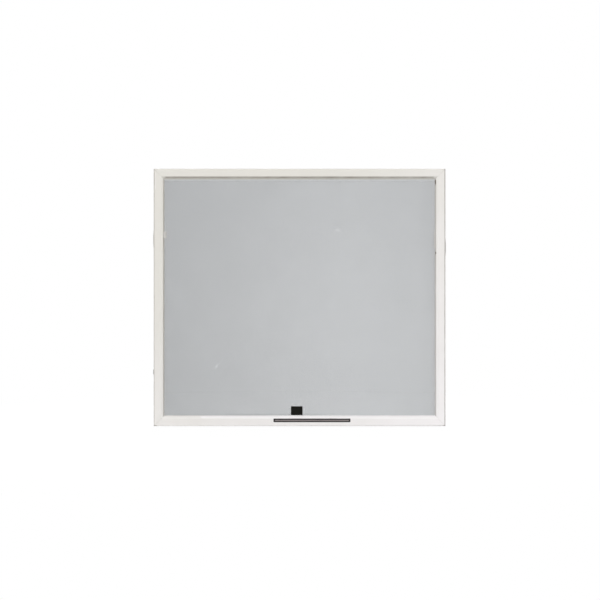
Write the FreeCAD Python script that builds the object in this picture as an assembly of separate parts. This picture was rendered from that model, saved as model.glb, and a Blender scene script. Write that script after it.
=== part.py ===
import FreeCAD, Part
import math
import os

# Insect screen for a casement window. Four roll-formed aluminium bars are mitred
# round a stretched cloth, joined by moulded corner keys that hide in the tubes.
# The cloth is folded into a groove on the back of each bar and held by a spline.
# Lengths are millimetres: X across the window, Y from the room to the outside,
# Z up, with the origin at the bottom centre of the frame.

# Frame
frame_width = 619.0
frame_height = 546.0
mitre_gap = 0.2

# How far a cutting shape reaches past what it cuts, and the shortest edge drawn
cut_margin = 1.0
shortest_edge = 1e-6

# Bar section: widths run inwards from the outer edge, depths back from the face
bar_width = 22.0
bar_depth = 11.0
wall = 0.6
slope_width = 5.6
slope_drop = 2.6
ledge_width = 1.4
ledge_depth = 5.6
groove_width = 4.0
groove_depth = 4.2
lip_width = 2.6
lip_setback = 0.6
front_edge_radius = 1.5
back_edge_radius = 0.8
crease_radius = 3.0
nose_radius = 1.2
lip_radius = 0.5
fold_radius = 0.4

# Cloth: a grid of large gaps stands for the mesh's fine openings. The bands between the
# gaps are a thin web with upright ridges in front and level ones behind, each of which
# stands for a few neighbouring strands
cloth_thickness = 0.3
cloth_web = 0.12
gaps_across = 12
gaps_up = 10
band_width = 16.0
strand_pitch = 1.6
strand_width = 0.4
strands_per_ridge = 2
cloth_bend = 0.3
cloth_trim = 0.8

# Splines that hold the cloth in the grooves
spline_clearance = 0.1
spline_ridges = 10
spline_ridge_height = 0.2

# Corner keys
key_leg_length = 40.0
key_clearance = 0.15
key_barb_height = 0.25
key_barb_pitch = 6.0
key_barb_length = 2.0
key_barb_count = 3
key_tip_taper = 1.5
key_rib = 1.8
key_pocket_depth = 6.5

# Edge springs: bowed steel strips hooked into two slots of each stile
spring_length = 38.0
spring_strip_width = 5.0
spring_thickness = 0.4
spring_bow = 1.2
spring_seat_gap = 0.05
spring_hook_depth = 3.0
spring_hook_foot = 1.4
spring_slot_clearance = 0.2
left_spring_below_top = 150.0
right_spring_below_top = 166.0

# Bumper low on the left stile
bumper_length = 12.0
bumper_width = 6.0
bumper_slope = 1.5
bumper_proud = 1.0
bumper_crown_radius = 2.0
bumper_stem_radius = 1.5
bumper_hole_clearance = 0.2
bumper_barb_radius = 2.1
bumper_barb_length = 1.6
bumper_height = 115.0

# Pull tabs on the ledge of each stile: a short wide one and a long narrow one
left_tab_length = 14.0
left_tab_reach = 6.4
right_tab_length = 36.0
right_tab_reach = 3.4
tab_clearance = 0.2
tab_thickness = 2.3
tab_bead_width = 1.8
tab_bead_height = 1.4
tab_bead_slope = 0.9
tab_corner_radius = 0.4
tab_grip_radius = 0.7
tab_stem_margin = 2.0
tab_stem_thickness = 1.2
tab_barb_reach = 1.8
tab_barb_height = 0.35
left_tab_below_top = 140.0
right_tab_below_top = 150.0

# Wear pad bonded to the cloth above the bottom rail
pad_width = 24.0
pad_height = 18.0
pad_thickness = 0.8
pad_corner = 1.2
pad_offset = -6.0
pad_clearance = 0.2

# Places that follow from the sizes above
slope_end = bar_width - ledge_width
face_width = slope_end - slope_width
groove_end = bar_width - lip_width
groove_start = groove_end - groove_width
groove_floor = bar_depth - groove_depth
lip_back = bar_depth - lip_setback
cloth_back = lip_back + cloth_thickness
middle_depth = bar_depth / 2
key_chamfer = front_edge_radius - wall
ridge_pitch = strand_pitch * strands_per_ridge
ridge_width = strand_width * strands_per_ridge
X_AXIS = FreeCAD.Vector(1, 0, 0)
Y_AXIS = FreeCAD.Vector(0, 1, 0)
Z_AXIS = FreeCAD.Vector(0, 0, 1)
ORIGIN = FreeCAD.Vector(0, 0, 0)

spring_height = {
    "left": frame_height - left_spring_below_top,
    "right": frame_height - right_spring_below_top,
}
tab_height = {
    "left": frame_height - left_tab_below_top,
    "right": frame_height - right_tab_below_top,
}
tab_length = {"left": left_tab_length, "right": right_tab_length}
tab_reach = {"left": left_tab_reach, "right": right_tab_reach}

# Going round the frame, each side and corner is a quarter turn on from the last
SIDES = ["bottom", "left", "top", "right"]
CORNERS = ["bottom_left", "top_left", "top_right", "bottom_right"]
SIDE_MIDDLES = {
    "bottom": FreeCAD.Vector(0, 0, 0),
    "left": FreeCAD.Vector(-frame_width / 2, 0, frame_height / 2),
    "top": FreeCAD.Vector(0, 0, frame_height),
    "right": FreeCAD.Vector(frame_width / 2, 0, frame_height / 2),
}
SIDE_LENGTHS = {
    "bottom": frame_width,
    "left": frame_height,
    "top": frame_width,
    "right": frame_height,
}


def point(along, inward, depth):
    """A point beside a bar that lies along X with its outer edge at Z = 0."""
    return FreeCAD.Vector(along, depth - middle_depth, inward)


def rounded_wire(corners):
    """A closed wire through (position, radius) corners, with an arc at each one."""
    ends = []
    for index, (corner, radius) in enumerate(corners):
        before = (corners[index - 1][0] - corner).normalize()
        after = (corners[(index + 1) % len(corners)][0] - corner).normalize()
        half_angle = before.getAngle(after) / 2
        tangent = radius / math.tan(half_angle)
        inside = (before + after).normalize()
        middle = corner + inside * (radius / math.sin(half_angle) - radius)
        ends.append((corner + before * tangent, middle, corner + after * tangent))
    edges = []
    for index, (start, middle, end) in enumerate(ends):
        last = ends[index - 1][2]
        if last.distanceToPoint(start) > shortest_edge:
            edges.append(Part.LineSegment(last, start).toShape())
        if start.distanceToPoint(end) > shortest_edge:
            edges.append(Part.Arc(start, middle, end).toShape())
    return Part.Wire(edges)


def rounded_face(corners):
    """A face inside (position, radius) corners."""
    return Part.Face(rounded_wire(corners))


def section(corners):
    """A face across a bar from (inward, depth, radius) corners."""
    return rounded_face([(point(0, u, v), radius) for u, v, radius in corners])


def polygon_face(points):
    """A face inside straight edges from point to point."""
    return Part.Face(Part.makePolygon(points + points[:1]))


def prism(face, length):
    """A section's face drawn along X, centred on X = 0."""
    placed = face.copy()
    placed.translate(FreeCAD.Vector(-length / 2, 0, 0))
    return placed.extrude(FreeCAD.Vector(length, 0, 0))


def block(along, inward, depth):
    """A box from three (low, high) ranges beside a bar."""
    low = point(along[0], inward[0], depth[0])
    size = point(along[1], inward[1], depth[1]) - low
    return Part.makeBox(size.x, size.y, size.z, low)


def mitred(shape, length, gap):
    """Cuts both ends of a prism along X at 45 degrees, each short by half the gap."""
    end = length / 2 - gap
    inside = shape.BoundBox.ZMax + cut_margin
    outside = -cut_margin
    corners = [
        (outside - end, outside),
        (end - outside, outside),
        (end - inside, inside),
        (inside - end, inside),
    ]
    outline = polygon_face([point(x, u, -cut_margin) for x, u in corners])
    envelope = outline.extrude(FreeCAD.Vector(0, bar_depth + 2 * cut_margin, 0))
    return shape.common(envelope)


def turned_and_moved(shape, quarter_turns, place):
    """A copy of a shape, turned about Y by quarter turns and then moved."""
    placed = shape.copy()
    placed.rotate(ORIGIN, Y_AXIS, 90 * quarter_turns)
    placed.translate(place)
    return placed


def on_side(shape, side):
    """Moves a shape drawn beside the bottom bar to its own side of the frame."""
    return turned_and_moved(shape, SIDES.index(side), SIDE_MIDDLES[side])


def along_stile(side, height):
    """Where a height above the bottom edge lies along a stile as it is drawn."""
    return frame_height / 2 - height if side == "left" else height - frame_height / 2


def bar_section():
    """The roll-formed tube: flat face, slope, ledge, lip, spline groove and back."""
    outer = section([
        (0, 0, front_edge_radius),
        (face_width, 0, crease_radius),
        (slope_end, slope_drop, nose_radius),
        (slope_end, ledge_depth, fold_radius),
        (bar_width, ledge_depth, lip_radius),
        (bar_width, lip_back, lip_radius),
        (groove_end, lip_back, lip_radius),
        (groove_end, groove_floor, fold_radius),
        (groove_start, groove_floor, fold_radius),
        (groove_start, bar_depth, lip_radius),
        (0, bar_depth, back_edge_radius),
    ])
    return outer.cut(outer.makeOffset2D(-wall))


def bar(side):
    """One mitred bar, drawn along X."""
    length = SIDE_LENGTHS[side]
    return mitred(prism(bar_section(), length), length, mitre_gap / 2)


def spring_slots(along):
    """The two slots in the outer wall that take an edge spring's hooks."""
    half_width = spring_strip_width / 2 + spring_slot_clearance
    half_gap = spring_thickness / 2 + spring_slot_clearance
    inward = (-cut_margin, wall + cut_margin)
    depth = (middle_depth - half_width, middle_depth + half_width)
    slots = []
    for end in (-1, 1):
        hook = along + end * (spring_length - spring_thickness) / 2
        slots.append(block((hook - half_gap, hook + half_gap), inward, depth))
    return slots


def tab_slot(side):
    """The slot in the steep wall above the ledge that takes a pull tab's stem."""
    along = along_stile(side, tab_height[side])
    half_length = tab_length[side] / 2 - tab_stem_margin + tab_clearance
    half_thickness = tab_stem_thickness / 2 + tab_clearance / 2
    stem_depth = tab_stem_depth()
    return block(
        (along - half_length, along + half_length),
        (slope_end - wall - cut_margin, slope_end + cut_margin),
        (stem_depth - half_thickness, stem_depth + half_thickness),
    )


def tab_stem_depth():
    """The middle of the steep wall's flat part, where the pull tab goes in."""
    slope_angle = math.atan2(slope_drop, slope_width)
    nose_tangent = nose_radius * math.tan((math.pi / 2 - slope_angle) / 2)
    return (slope_drop + nose_tangent + ledge_depth - fold_radius) / 2


def bumper_hole(along):
    """The round hole in the outer wall for the bumper's stem."""
    radius = bumper_stem_radius + bumper_hole_clearance
    start = point(along, -cut_margin, middle_depth)
    return Part.makeCylinder(radius, wall + 2 * cut_margin, start, Z_AXIS)


def stile(side):
    """A side bar with its slots, and on the left the bumper's hole."""
    cutters = spring_slots(along_stile(side, spring_height[side]))
    cutters.append(tab_slot(side))
    if side == "left":
        cutters.append(bumper_hole(along_stile(side, bumper_height)))
    return bar(side).cut(cutters)


def key_leg_section(near, far, depth):
    """The leg's outline across the bar, chamfered to clear the tube's corners and slope."""
    c = key_chamfer
    back = bar_depth - depth
    under_slope = max(0, far - face_width) * slope_drop / slope_width
    outline = [
        (near + c, depth), (min(far, face_width) - c, depth), (far, depth + c + under_slope),
        (far, back - c), (far - c, back), (near + c, back), (near, back - c), (near, depth + c),
    ]
    return polygon_face([point(0, inward, place) for inward, place in outline])


def key_leg():
    """One barbed leg of a corner key, along X from the outer corner."""
    near = wall + key_clearance
    far = groove_start - wall - key_clearance
    tip = key_leg_length
    face_depth = wall + key_clearance + key_barb_height
    barb_depth = wall + key_clearance
    front = [(near, face_depth + key_chamfer), (near + key_chamfer, face_depth)]
    for index in reversed(range(key_barb_count)):
        crest = tip - 2 * key_tip_taper - index * key_barb_pitch
        front.append((crest - key_barb_length, barb_depth))
        front.append((crest, face_depth))
    front.append((tip - key_tip_taper, face_depth))
    front.append((tip, face_depth + key_tip_taper))
    back = [(x, bar_depth - depth) for x, depth in reversed(front)]
    side_face = polygon_face([point(x, near, depth) for x, depth in front + back])
    leg = side_face.extrude(FreeCAD.Vector(0, 0, far - near))
    leg = leg.common(prism(key_leg_section(near, far, barb_depth), 2 * (tip + cut_margin)))
    middle_rib = (far + tip) / 2
    pockets = [
        (far + key_rib, middle_rib - key_rib / 2),
        (middle_rib + key_rib / 2, tip - key_tip_taper - key_rib),
    ]
    across = (near + key_rib, far - key_rib)
    floor = bar_depth - wall - key_pocket_depth
    return leg.cut([block(pocket, across, (floor, bar_depth)) for pocket in pockets])


def corner_key():
    """An L-shaped key drawn for the bottom left corner, both legs alike."""
    leg = key_leg()
    other = leg.mirror(ORIGIN, FreeCAD.Vector(1, 0, -1))
    return leg.fuse(other).removeSplitter()


def band_middles(clear, gaps):
    """The middles of the bands of strands between and beside a row of gaps."""
    return [clear * (index / gaps - 0.5) for index in range(gaps + 1)]


def gap_ranges(bands):
    """The (low, high) range of each gap between two neighbouring bands."""
    half_band = band_width / 2
    return [(low + half_band, high - half_band) for low, high in zip(bands, bands[1:])]


def strand_layer(span, run, bands):
    """Half the cloth's thickness, with its bands' ridges standing out towards -Y."""
    web = cloth_web / 2
    crest = cloth_thickness / 2
    half_width = ridge_width / 2
    per_band = int((band_width - ridge_width) / ridge_pitch) + 1
    first = -(per_band - 1) * ridge_pitch / 2
    middles = [band + first + index * ridge_pitch for band in bands for index in range(per_band)]
    outline = [(-span / 2, 0), (-span / 2, -web)]
    for middle in middles:
        if abs(middle) + half_width < span / 2:
            outline.append((middle - half_width, -web))
            outline.append((middle, -crest))
            outline.append((middle + half_width, -web))
    outline += [(span / 2, -web), (span / 2, 0)]
    face = polygon_face([FreeCAD.Vector(x, y, -run / 2) for x, y in outline])
    return face.extrude(FreeCAD.Vector(0, 0, run))


def woven_sheet(width, height):
    """The flat of the cloth, centred on the origin, with its bands of ridges and its gaps."""
    columns = band_middles(frame_width - 2 * bar_width, gaps_across)
    rows = band_middles(frame_height - 2 * bar_width, gaps_up)
    upright_strands = strand_layer(width, height, columns)
    level_strands = strand_layer(height, width, rows)
    level_strands.rotate(ORIGIN, Y_AXIS, 90)
    level_strands.rotate(ORIGIN, X_AXIS, 180)
    gaps = [
        Part.makeBox(right - left, 2 * cut_margin, high - low, FreeCAD.Vector(left, -cut_margin, low))
        for left, right in gap_ranges(columns)
        for low, high in gap_ranges(rows)
    ]
    return upright_strands.fuse(level_strands).cut(gaps)


def cloth():
    """The stretched cloth with its hem folded down into all four grooves."""
    t = cloth_thickness
    flat_start = bar_width + lip_width
    outer_bend = fold_radius + cloth_bend
    hem_end = bar_depth - cloth_trim
    hem = section([
        (flat_start, lip_back, 0),
        (groove_end, lip_back, cloth_bend),
        (groove_end, groove_floor, outer_bend),
        (groove_start, groove_floor, outer_bend),
        (groove_start, hem_end, 0),
        (groove_start + t, hem_end, 0),
        (groove_start + t, groove_floor + t, outer_bend - t),
        (groove_end - t, groove_floor + t, outer_bend - t),
        (groove_end - t, cloth_back, cloth_bend + t),
        (flat_start, cloth_back, 0),
    ])
    sheet = woven_sheet(frame_width - 2 * flat_start, frame_height - 2 * flat_start)
    sheet.translate(point(0, frame_height / 2, lip_back + t / 2))
    hems = []
    for side in SIDES:
        length = SIDE_LENGTHS[side]
        hems.append(on_side(mitred(prism(hem, length), length, 0), side))
    return sheet.fuse(hems).removeSplitter()


def spline(side):
    """A ribbed spline pressed into the groove; the side ones butt on the others."""
    radius = groove_width / 2 - cloth_thickness - spline_clearance
    inward = (groove_start + groove_end) / 2
    depth = groove_floor + cloth_thickness + spline_clearance + radius
    outline = []
    for index in range(2 * spline_ridges):
        angle = math.pi * index / spline_ridges
        reach = radius - spline_ridge_height * (index % 2)
        across = reach * math.sin(angle)
        outline.append(point(0, inward + across, depth + reach * math.cos(angle)))
    if side in ("top", "bottom"):
        end = groove_start + cloth_thickness + fold_radius + spline_clearance
    else:
        end = inward + radius + spline_clearance
    return prism(polygon_face(outline), SIDE_LENGTHS[side] - 2 * end)


def edge_spring():
    """A bowed strip whose two hooks drop through the outer wall of a stile."""
    half = spring_length / 2
    t = spring_thickness
    seat = -spring_seat_gap
    hook = spring_hook_depth
    foot = half - spring_hook_foot
    arch_out = Part.Arc(
        point(-half, seat - t, 0), point(0, -spring_bow, 0), point(half, seat - t, 0)
    )
    arch_in = Part.Arc(
        point(half - t, seat, 0), point(0, t - spring_bow, 0), point(t - half, seat, 0)
    )
    right = [
        (half, seat - t), (half, hook), (foot, hook),
        (foot, hook - t), (half - t, hook - t), (half - t, seat),
    ]
    edges = [arch_out.toShape(), arch_in.toShape()]
    for path in (right, [(-x, u) for x, u in right]):
        for (x0, u0), (x1, u1) in zip(path, path[1:]):
            edges.append(Part.LineSegment(point(x0, u0, 0), point(x1, u1, 0)).toShape())
    wire = Part.Wire(Part.__sortEdges__(edges))
    strip = Part.Face(wire).extrude(FreeCAD.Vector(0, spring_strip_width, 0))
    strip.translate(FreeCAD.Vector(0, middle_depth - spring_strip_width / 2, 0))
    return strip


def bumper():
    """A soft bumper whose stem and barb are pushed through the outer wall."""
    half = bumper_length / 2
    side = middle_depth - bumper_width / 2
    outline = [
        (point(-half, 0, side), 0),
        (point(bumper_slope - half, -bumper_proud, side), bumper_crown_radius),
        (point(half - bumper_slope, -bumper_proud, side), bumper_crown_radius),
        (point(half, 0, side), 0),
    ]
    head = rounded_face(outline).extrude(FreeCAD.Vector(0, bumper_width, 0))
    inside = wall + bumper_hole_clearance
    stem = Part.makeCylinder(
        bumper_stem_radius, inside + wall, point(0, -wall, middle_depth), Z_AXIS
    )
    barb = Part.makeCone(
        bumper_barb_radius, bumper_stem_radius / 2, bumper_barb_length,
        point(0, inside, middle_depth), Z_AXIS,
    )
    return head.fuse([stem, barb]).removeSplitter()


def pull_tab(side):
    """A moulded finger tab that snaps into the steep wall and stands over the ledge."""
    near = slope_end + tab_clearance
    far = near + tab_reach[side]
    back = ledge_depth - tab_clearance
    front = back - tab_thickness
    crown = front - tab_bead_height
    grip = section([
        (near, front, tab_corner_radius),
        (far - tab_bead_width - tab_bead_slope, front, tab_corner_radius),
        (far - tab_bead_width, crown, tab_corner_radius),
        (far, crown, tab_grip_radius),
        (far, back, tab_grip_radius),
        (near, back, tab_corner_radius),
    ])
    middle = tab_stem_depth()
    half_stem = tab_stem_thickness / 2
    half_barb = half_stem + tab_barb_height
    behind = slope_end - wall - tab_clearance / 2
    tip = behind - tab_barb_reach
    stem_corners = [
        (near + tab_clearance, middle - half_stem, 0),
        (near + tab_clearance, middle + half_stem, 0),
        (behind, middle + half_stem, 0),
        (behind, middle + half_barb, 0),
        (tip, middle + half_stem / 2, 0),
        (tip, middle - half_stem / 2, 0),
        (behind, middle - half_barb, 0),
        (behind, middle - half_stem, 0),
    ]
    stem = prism(section(stem_corners), tab_length[side] - 2 * tab_stem_margin)
    return prism(grip, tab_length[side]).fuse(stem).removeSplitter()


def wear_pad():
    """A thin rounded patch on the cloth's room side, just above the bottom rail."""
    low = bar_width + pad_clearance
    x = pad_offset - pad_width / 2
    front = lip_back - pad_thickness
    outline = [
        (point(x, low, front), pad_corner),
        (point(x + pad_width, low, front), pad_corner),
        (point(x + pad_width, low + pad_height, front), pad_corner),
        (point(x, low + pad_height, front), pad_corner),
    ]
    return rounded_face(outline).extrude(FreeCAD.Vector(0, pad_thickness, 0))


def moved_along(shape, distance):
    """A copy of a shape moved along X."""
    moved = shape.copy()
    moved.translate(FreeCAD.Vector(distance, 0, 0))
    return moved


nodes = {
    "top_rail": on_side(bar("top"), "top"),
    "bottom_rail": on_side(bar("bottom"), "bottom"),
    "left_stile": on_side(stile("left"), "left"),
    "right_stile": on_side(stile("right"), "right"),
    "screen_cloth": cloth(),
    "wear_pad": wear_pad(),
    "edge_bumper": on_side(moved_along(bumper(), along_stile("left", bumper_height)), "left"),
}

# Corner keys: the drawn key is turned to each corner and moved to it
key = corner_key()
for turns, corner in enumerate(CORNERS):
    x = -frame_width / 2 if "left" in corner else frame_width / 2
    z = frame_height if "top" in corner else 0
    nodes["corner_key_" + corner] = turned_and_moved(key, turns, FreeCAD.Vector(x, 0, z))

for side in SIDES:
    nodes["spline_" + side] = on_side(spline(side), side)

for side in ("left", "right"):
    spring = moved_along(edge_spring(), along_stile(side, spring_height[side]))
    nodes["edge_spring_" + side] = on_side(spring, side)
    tab = moved_along(pull_tab(side), along_stile(side, tab_height[side]))
    nodes["pull_tab_" + side] = on_side(tab, side)

os.makedirs("parts", exist_ok=True)
for name, shape in nodes.items():
    shape.exportStep("parts/" + name + ".step")
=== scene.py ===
import math
from functools import partial

import bmesh
import bpy
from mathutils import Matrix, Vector


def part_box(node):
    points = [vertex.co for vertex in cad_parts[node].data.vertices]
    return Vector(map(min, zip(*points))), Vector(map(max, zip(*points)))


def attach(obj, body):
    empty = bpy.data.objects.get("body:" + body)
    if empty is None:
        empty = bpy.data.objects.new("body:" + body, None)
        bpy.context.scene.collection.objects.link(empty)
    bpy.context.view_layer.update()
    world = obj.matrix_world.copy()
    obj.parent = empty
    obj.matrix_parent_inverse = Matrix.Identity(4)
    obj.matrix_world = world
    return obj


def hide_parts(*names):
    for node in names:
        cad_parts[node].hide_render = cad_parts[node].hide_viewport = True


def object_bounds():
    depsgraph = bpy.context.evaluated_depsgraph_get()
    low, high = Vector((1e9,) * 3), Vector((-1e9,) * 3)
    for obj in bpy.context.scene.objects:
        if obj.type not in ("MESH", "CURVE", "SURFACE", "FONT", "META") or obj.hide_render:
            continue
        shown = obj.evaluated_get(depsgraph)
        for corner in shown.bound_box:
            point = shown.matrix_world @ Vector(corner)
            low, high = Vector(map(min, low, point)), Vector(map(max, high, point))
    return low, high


# Insect screen for a casement window, seen square on from its room side.
# Lengths are metres: X across the window, Y from the room to the outside, Z up.

bl_info = {
    "name": "Insect screen finish",
    "version": (1, 0, 0),
    "blender": (4, 5, 0),
    "location": "3D View > Sidebar > Insect Screen",
    "description": "Gives a framed insect screen its woven mesh, fittings and finishes",
    "category": "Object",
}

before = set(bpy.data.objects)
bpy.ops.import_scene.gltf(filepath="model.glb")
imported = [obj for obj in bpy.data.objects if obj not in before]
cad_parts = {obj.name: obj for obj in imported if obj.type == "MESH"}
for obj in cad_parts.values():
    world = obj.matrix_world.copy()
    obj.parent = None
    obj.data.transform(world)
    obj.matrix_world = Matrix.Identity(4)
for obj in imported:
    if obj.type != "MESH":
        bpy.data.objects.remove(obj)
CAD_LOW, CAD_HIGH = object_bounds()

MM = 0.001
BODY = "root"
BARS = ["top_rail", "bottom_rail", "left_stile", "right_stile"]
LEVEL_SPLINES = ["spline_top", "spline_bottom"]
UPRIGHT_SPLINES = ["spline_left", "spline_right"]
KEYS = [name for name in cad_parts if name.startswith("corner_key_")]
SPRINGS = ["edge_spring_left", "edge_spring_right"]

X_AXIS = Vector((1, 0, 0))
Y_AXIS = Vector((0, 1, 0))
Z_AXIS = Vector((0, 0, 1))

# The frame's outer edges and its face towards the room
HALF_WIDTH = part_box("right_stile")[1].x
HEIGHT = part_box("top_rail")[1].z
FACE_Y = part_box("bottom_rail")[0].y
MIDDLE = Vector((0, 0, HEIGHT / 2))

# Bar section, measured inwards from the outer edge
SLOPE_START = 15 * MM
SLOPE_END = 20.6 * MM
BAR_WIDTH = 22 * MM

# Sockets of a Mix node: its factor, and what it mixes as colours or as numbers
FACTOR, FIRST, SECOND = 0, 6, 7
FIRST_NUMBER, SECOND_NUMBER = 2, 3


def linear(hex_text):
    """An sRGB hex colour as linear red, green, blue and alpha."""
    channels = [int(hex_text[i:i + 2], 16) / 255 for i in (1, 3, 5)]
    return (*[c / 12.92 if c <= 0.04045 else ((c + 0.055) / 1.055) ** 2.4 for c in channels], 1.0)


class ScreenSizes(bpy.types.PropertyGroup):
    strand_pitch: bpy.props.FloatProperty(
        name="Strand pitch", description="Spacing of the mesh's strands, 20 to the inch",
        default=1.27 * MM, unit="LENGTH", precision=5)
    strand_width: bpy.props.FloatProperty(
        name="Strand width", description="Width of a coated strand, seen from the room",
        default=0.415 * MM, unit="LENGTH", precision=5)
    strand_depth: bpy.props.FloatProperty(
        name="Strand depth", description="Thickness of a coated strand through the cloth",
        default=0.3 * MM, unit="LENGTH", precision=5)
    crossing_sink: bpy.props.FloatProperty(
        name="Crossing sink", description="How far two strands melt together where they cross",
        default=0.15 * MM, unit="LENGTH", precision=5)
    hem_upstand: bpy.props.FloatProperty(
        name="Hem upstand", description="How far the trimmed hem climbs the groove's outer wall",
        default=3.4 * MM, unit="LENGTH", precision=5)
    pad_corner: bpy.props.FloatProperty(
        name="Pad corner", description="Corner radius of the rubber pad",
        default=1.2 * MM, unit="LENGTH", precision=5)
    pad_bevel: bpy.props.FloatProperty(
        name="Pad bevel", description="Softened edge of the rubber pad",
        default=0.15 * MM, unit="LENGTH", precision=5)
    pad_spread: bpy.props.FloatProperty(
        name="Pad spread", description="How far the pad's ends have spread and its foot has risen",
        default=0.4 * MM, unit="LENGTH", precision=5)
    pad_creep: bpy.props.FloatProperty(
        name="Pad creep", description="How far the pad's top has crept up the mesh",
        default=1.0 * MM, unit="LENGTH", precision=5)
    strip_left: bpy.props.FloatProperty(
        name="Strip left", description="Left end of the printed strip on the bottom rail",
        default=-55.4 * MM, unit="LENGTH", precision=5)
    strip_length: bpy.props.FloatProperty(
        name="Strip length", description="Length of the printed strip",
        default=163.2 * MM, unit="LENGTH", precision=5)
    strip_height: bpy.props.FloatProperty(
        name="Strip height", description="Height of the printed strip",
        default=7.8 * MM, unit="LENGTH", precision=5)
    strip_middle: bpy.props.FloatProperty(
        name="Strip middle", description="Height of the strip's middle above the bottom edge",
        default=12.3 * MM, unit="LENGTH", precision=5)
    strip_line: bpy.props.FloatProperty(
        name="Strip line", description="Height of the pale line along the strip",
        default=0.8 * MM, unit="LENGTH", precision=5)


class ScreenColours(bpy.types.PropertyGroup):
    # The paint where it is least yellowed and least shaded
    paint: bpy.props.FloatVectorProperty(
        name="Paint", description="Baked enamel of the bars where it is least aged",
        default=linear("#F4F1F1"), subtype="COLOR", size=4)
    # Yellowed paint that also stands for painted shade towards the left
    yellowed_and_shaded_paint: bpy.props.FloatVectorProperty(
        name="Aged paint", description="Enamel where it has yellowed and dulled",
        default=linear("#E2DFD8"), subtype="COLOR", size=4)
    # This colour is also the painted shade on the bars, under the top slope, in the recess and
    # along the edges
    grime_and_shade: bpy.props.FloatVectorProperty(
        name="Grime", description="Dirt that settles in corners and along edges",
        default=linear("#6F675C"), subtype="COLOR", size=4)
    print_ink: bpy.props.FloatVectorProperty(
        name="Print", description="Dark ink of the printed strip",
        default=linear("#140D0C"), subtype="COLOR", size=4)
    print_pale: bpy.props.FloatVectorProperty(
        name="Print line", description="Fine pale line along the printed strip",
        default=linear("#C2B8B5"), subtype="COLOR", size=4)
    mesh: bpy.props.FloatVectorProperty(
        name="Mesh", description="Charcoal vinyl of the strands",
        default=linear("#22343F"), subtype="COLOR", size=4)
    # Less of this colour is mixed in where painted shade lies on the mesh, at the left and close
    # to the stiles
    mesh_dust_and_shade: bpy.props.FloatVectorProperty(
        name="Mesh dust", description="Grey dust on the strands",
        default=linear("#81878C"), subtype="COLOR", size=4)
    # This colour is also the painted light under the top rail
    lint_and_light: bpy.props.FloatVectorProperty(
        name="Lint", description="Pale lint caught in the mesh",
        default=linear("#C4C8CA"), subtype="COLOR", size=4)
    spline: bpy.props.FloatVectorProperty(
        name="Spline vinyl", description="Soft vinyl of the splines",
        default=linear("#4B4B49"), subtype="COLOR", size=4)
    rubber: bpy.props.FloatVectorProperty(
        name="Rubber", description="Black rubber of the pad and the bumper",
        default=linear("#11110C"), subtype="COLOR", size=4)
    steel: bpy.props.FloatVectorProperty(
        name="Spring steel", description="Rolled stainless strip of the edge springs",
        default=linear("#DCDAD6"), subtype="COLOR", size=4)
    left_tab: bpy.props.FloatVectorProperty(
        name="Left tab", description="Grey vinyl of the left pull tab",
        default=linear("#C6C4C0"), subtype="COLOR", size=4)
    right_tab: bpy.props.FloatVectorProperty(
        name="Right tab", description="Milky vinyl of the right pull tab",
        default=linear("#CAC7C4"), subtype="COLOR", size=4)
    nylon: bpy.props.FloatVectorProperty(
        name="Key nylon", description="Natural nylon of the corner keys",
        default=linear("#DDD9CC"), subtype="COLOR", size=4)


def add_node(tree, kind, inputs=None, **settings):
    """Adds a node with its settings. An input is a value, a socket, or a node to link from."""
    node = tree.nodes.new(kind)
    for name, value in settings.items():
        setattr(node, name, value)
    for key, value in (inputs or {}).items():
        if isinstance(value, bpy.types.Node):
            value = next(output for output in value.outputs if output.enabled)
        if isinstance(value, bpy.types.NodeSocket):
            tree.links.new(value, node.inputs[key])
        else:
            node.inputs[key].default_value = value
    return node


def new_material(name):
    """A material without nodes, what adds nodes to it, and its Object coordinates."""
    material = bpy.data.materials.new(name)
    material.use_nodes = True
    material.node_tree.nodes.clear()
    add = partial(add_node, material.node_tree)
    return material, add, add("ShaderNodeTexCoord").outputs["Object"]


def dress(material, *names):
    """Gives objects a material of their own."""
    for name in names:
        piece = bpy.data.objects[name]
        piece.data.materials.clear()
        piece.data.materials.append(material)


def distances(add, place):
    """A point's x, y and z, and how far it lies inwards from the frame's outer edges."""
    at = add("ShaderNodeSeparateXYZ", {0: place}).outputs
    off_centre = add("ShaderNodeMath", {0: at["X"]}, operation="ABSOLUTE")
    side = add("ShaderNodeMath", {0: HALF_WIDTH, 1: off_centre}, operation="SUBTRACT")
    top = add("ShaderNodeMath", {0: HEIGHT, 1: at["Z"]}, operation="SUBTRACT")
    end = add("ShaderNodeMath", {0: top, 1: at["Z"]}, operation="MINIMUM")
    nearest = add("ShaderNodeMath", {0: side, 1: end}, operation="MINIMUM")
    return {
        "x": at["X"], "y": at["Y"], "z": at["Z"],
        "side": side, "top": top, "end": end, "nearest": nearest,
    }


def rounded_box(add, place, middle, half, radius, soft=0.1 * MM):
    """1 inside a rounded box about middle, 0 outside, with a soft edge."""
    core = [max(size - radius, 0) for size in half]
    away = add("ShaderNodeVectorMath", {0: place, 1: middle}, operation="SUBTRACT")
    away = add("ShaderNodeVectorMath", {0: away}, operation="ABSOLUTE")
    away = add("ShaderNodeVectorMath", {0: away, 1: core}, operation="SUBTRACT")
    away = add("ShaderNodeVectorMath", {0: away, 1: (0, 0, 0)}, operation="MAXIMUM")
    distance = add("ShaderNodeVectorMath", {0: away}, operation="LENGTH")
    return add("ShaderNodeMapRange", {
        "Value": distance, "From Min": radius - soft, "From Max": radius + soft,
        "To Min": 1, "To Max": 0,
    })


# Painted shadows, then painted highlights, on the bars: x, z, half width, half height, strength
SHADOW_MARKS = [
    (288.2 * MM, 517.6 * MM, 1.3 * MM, 4.6 * MM, 0.8),
    (288.7 * MM, 367.4 * MM, 1.6 * MM, 2.1 * MM, 0.7),
    (-307.8 * MM, 524 * MM, 1.0 * MM, 13 * MM, 0.12),
]
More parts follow.
